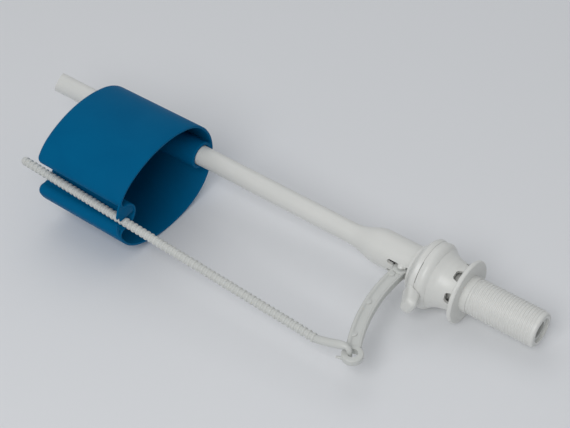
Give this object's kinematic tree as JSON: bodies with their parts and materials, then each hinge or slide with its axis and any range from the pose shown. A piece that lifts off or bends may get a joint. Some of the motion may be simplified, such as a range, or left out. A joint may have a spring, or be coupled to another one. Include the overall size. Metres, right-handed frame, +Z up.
{
  "type": "bottom inlet fill valve",
  "caption": "White float valve for a toilet cistern: threaded bottom inlet, diaphragm head, lever arm and ringed rod, with a blue float cup that slides on a tall riser.",
  "frame": {"origin": "centre of the flange's lower face, on the axis of the inlet tail", "axes": "+Z up the riser, -Y towards the adjusting rod and the thumb lug, +X to the right seen from the rod's side"},
  "size_m": [0.065, 0.0983, 0.3438],
  "materials": {
    "white_plastic": "moulded white plastic, soft gloss",
    "milky_plastic": "moulded natural plastic, slightly translucent",
    "blue_plastic": "moulded blue plastic, glossy",
    "dark_rubber": "black rubber"
  },
  "bodies": {
    "valve": {"valve_body": "white_plastic", "inlet_filter": "milky_plastic", "flow_restrictor": "milky_plastic", "pilot_cap": "white_plastic", "cap_seal": "dark_rubber", "riser": "white_plastic", "pivot_pin": "milky_plastic"},
    "membrane": {"diaphragm": "dark_rubber", "diaphragm_plate": "white_plastic"},
    "ring": {"lock_ring": "white_plastic"},
    "lever": {"lever_arm": "milky_plastic", "pilot_seal": "dark_rubber"},
    "rod": {"ratchet_rod": "milky_plastic"},
    "float": {"float_cup": "blue_plastic"}
  },
  "joints": [
    {"name": "rod_lift", "type": "slide", "parent": "valve", "child": "rod", "axis": [0, 0, 1], "range_m": [0, 0.009]},
    {"name": "arm_swing", "type": "hinge", "parent": "valve", "child": "lever", "pos_m": [0, -0.008, 0.0382], "axis": [-1, 0, 0], "range_deg": [0, 8]},
    {"name": "float_level", "type": "slide", "parent": "rod", "child": "float", "axis": [0, 0, 1], "range_m": [-0.01918, 0.01918]},
    {"name": "ring_turn", "type": "hinge", "parent": "valve", "child": "ring", "pos_m": [0, 0, 0.028], "axis": [0, 0, 1], "range_deg": [0, 45]},
    {"name": "diaphragm_lift", "type": "slide", "parent": "valve", "child": "membrane", "axis": [0, 0, 1], "range_m": [0, 0.0012], "deforming": ["diaphragm"]}
  ],
  "couplings": [
    {"joint": "arm_swing", "follows": "rod_lift", "rad_per_m": 15.43}
  ]
}
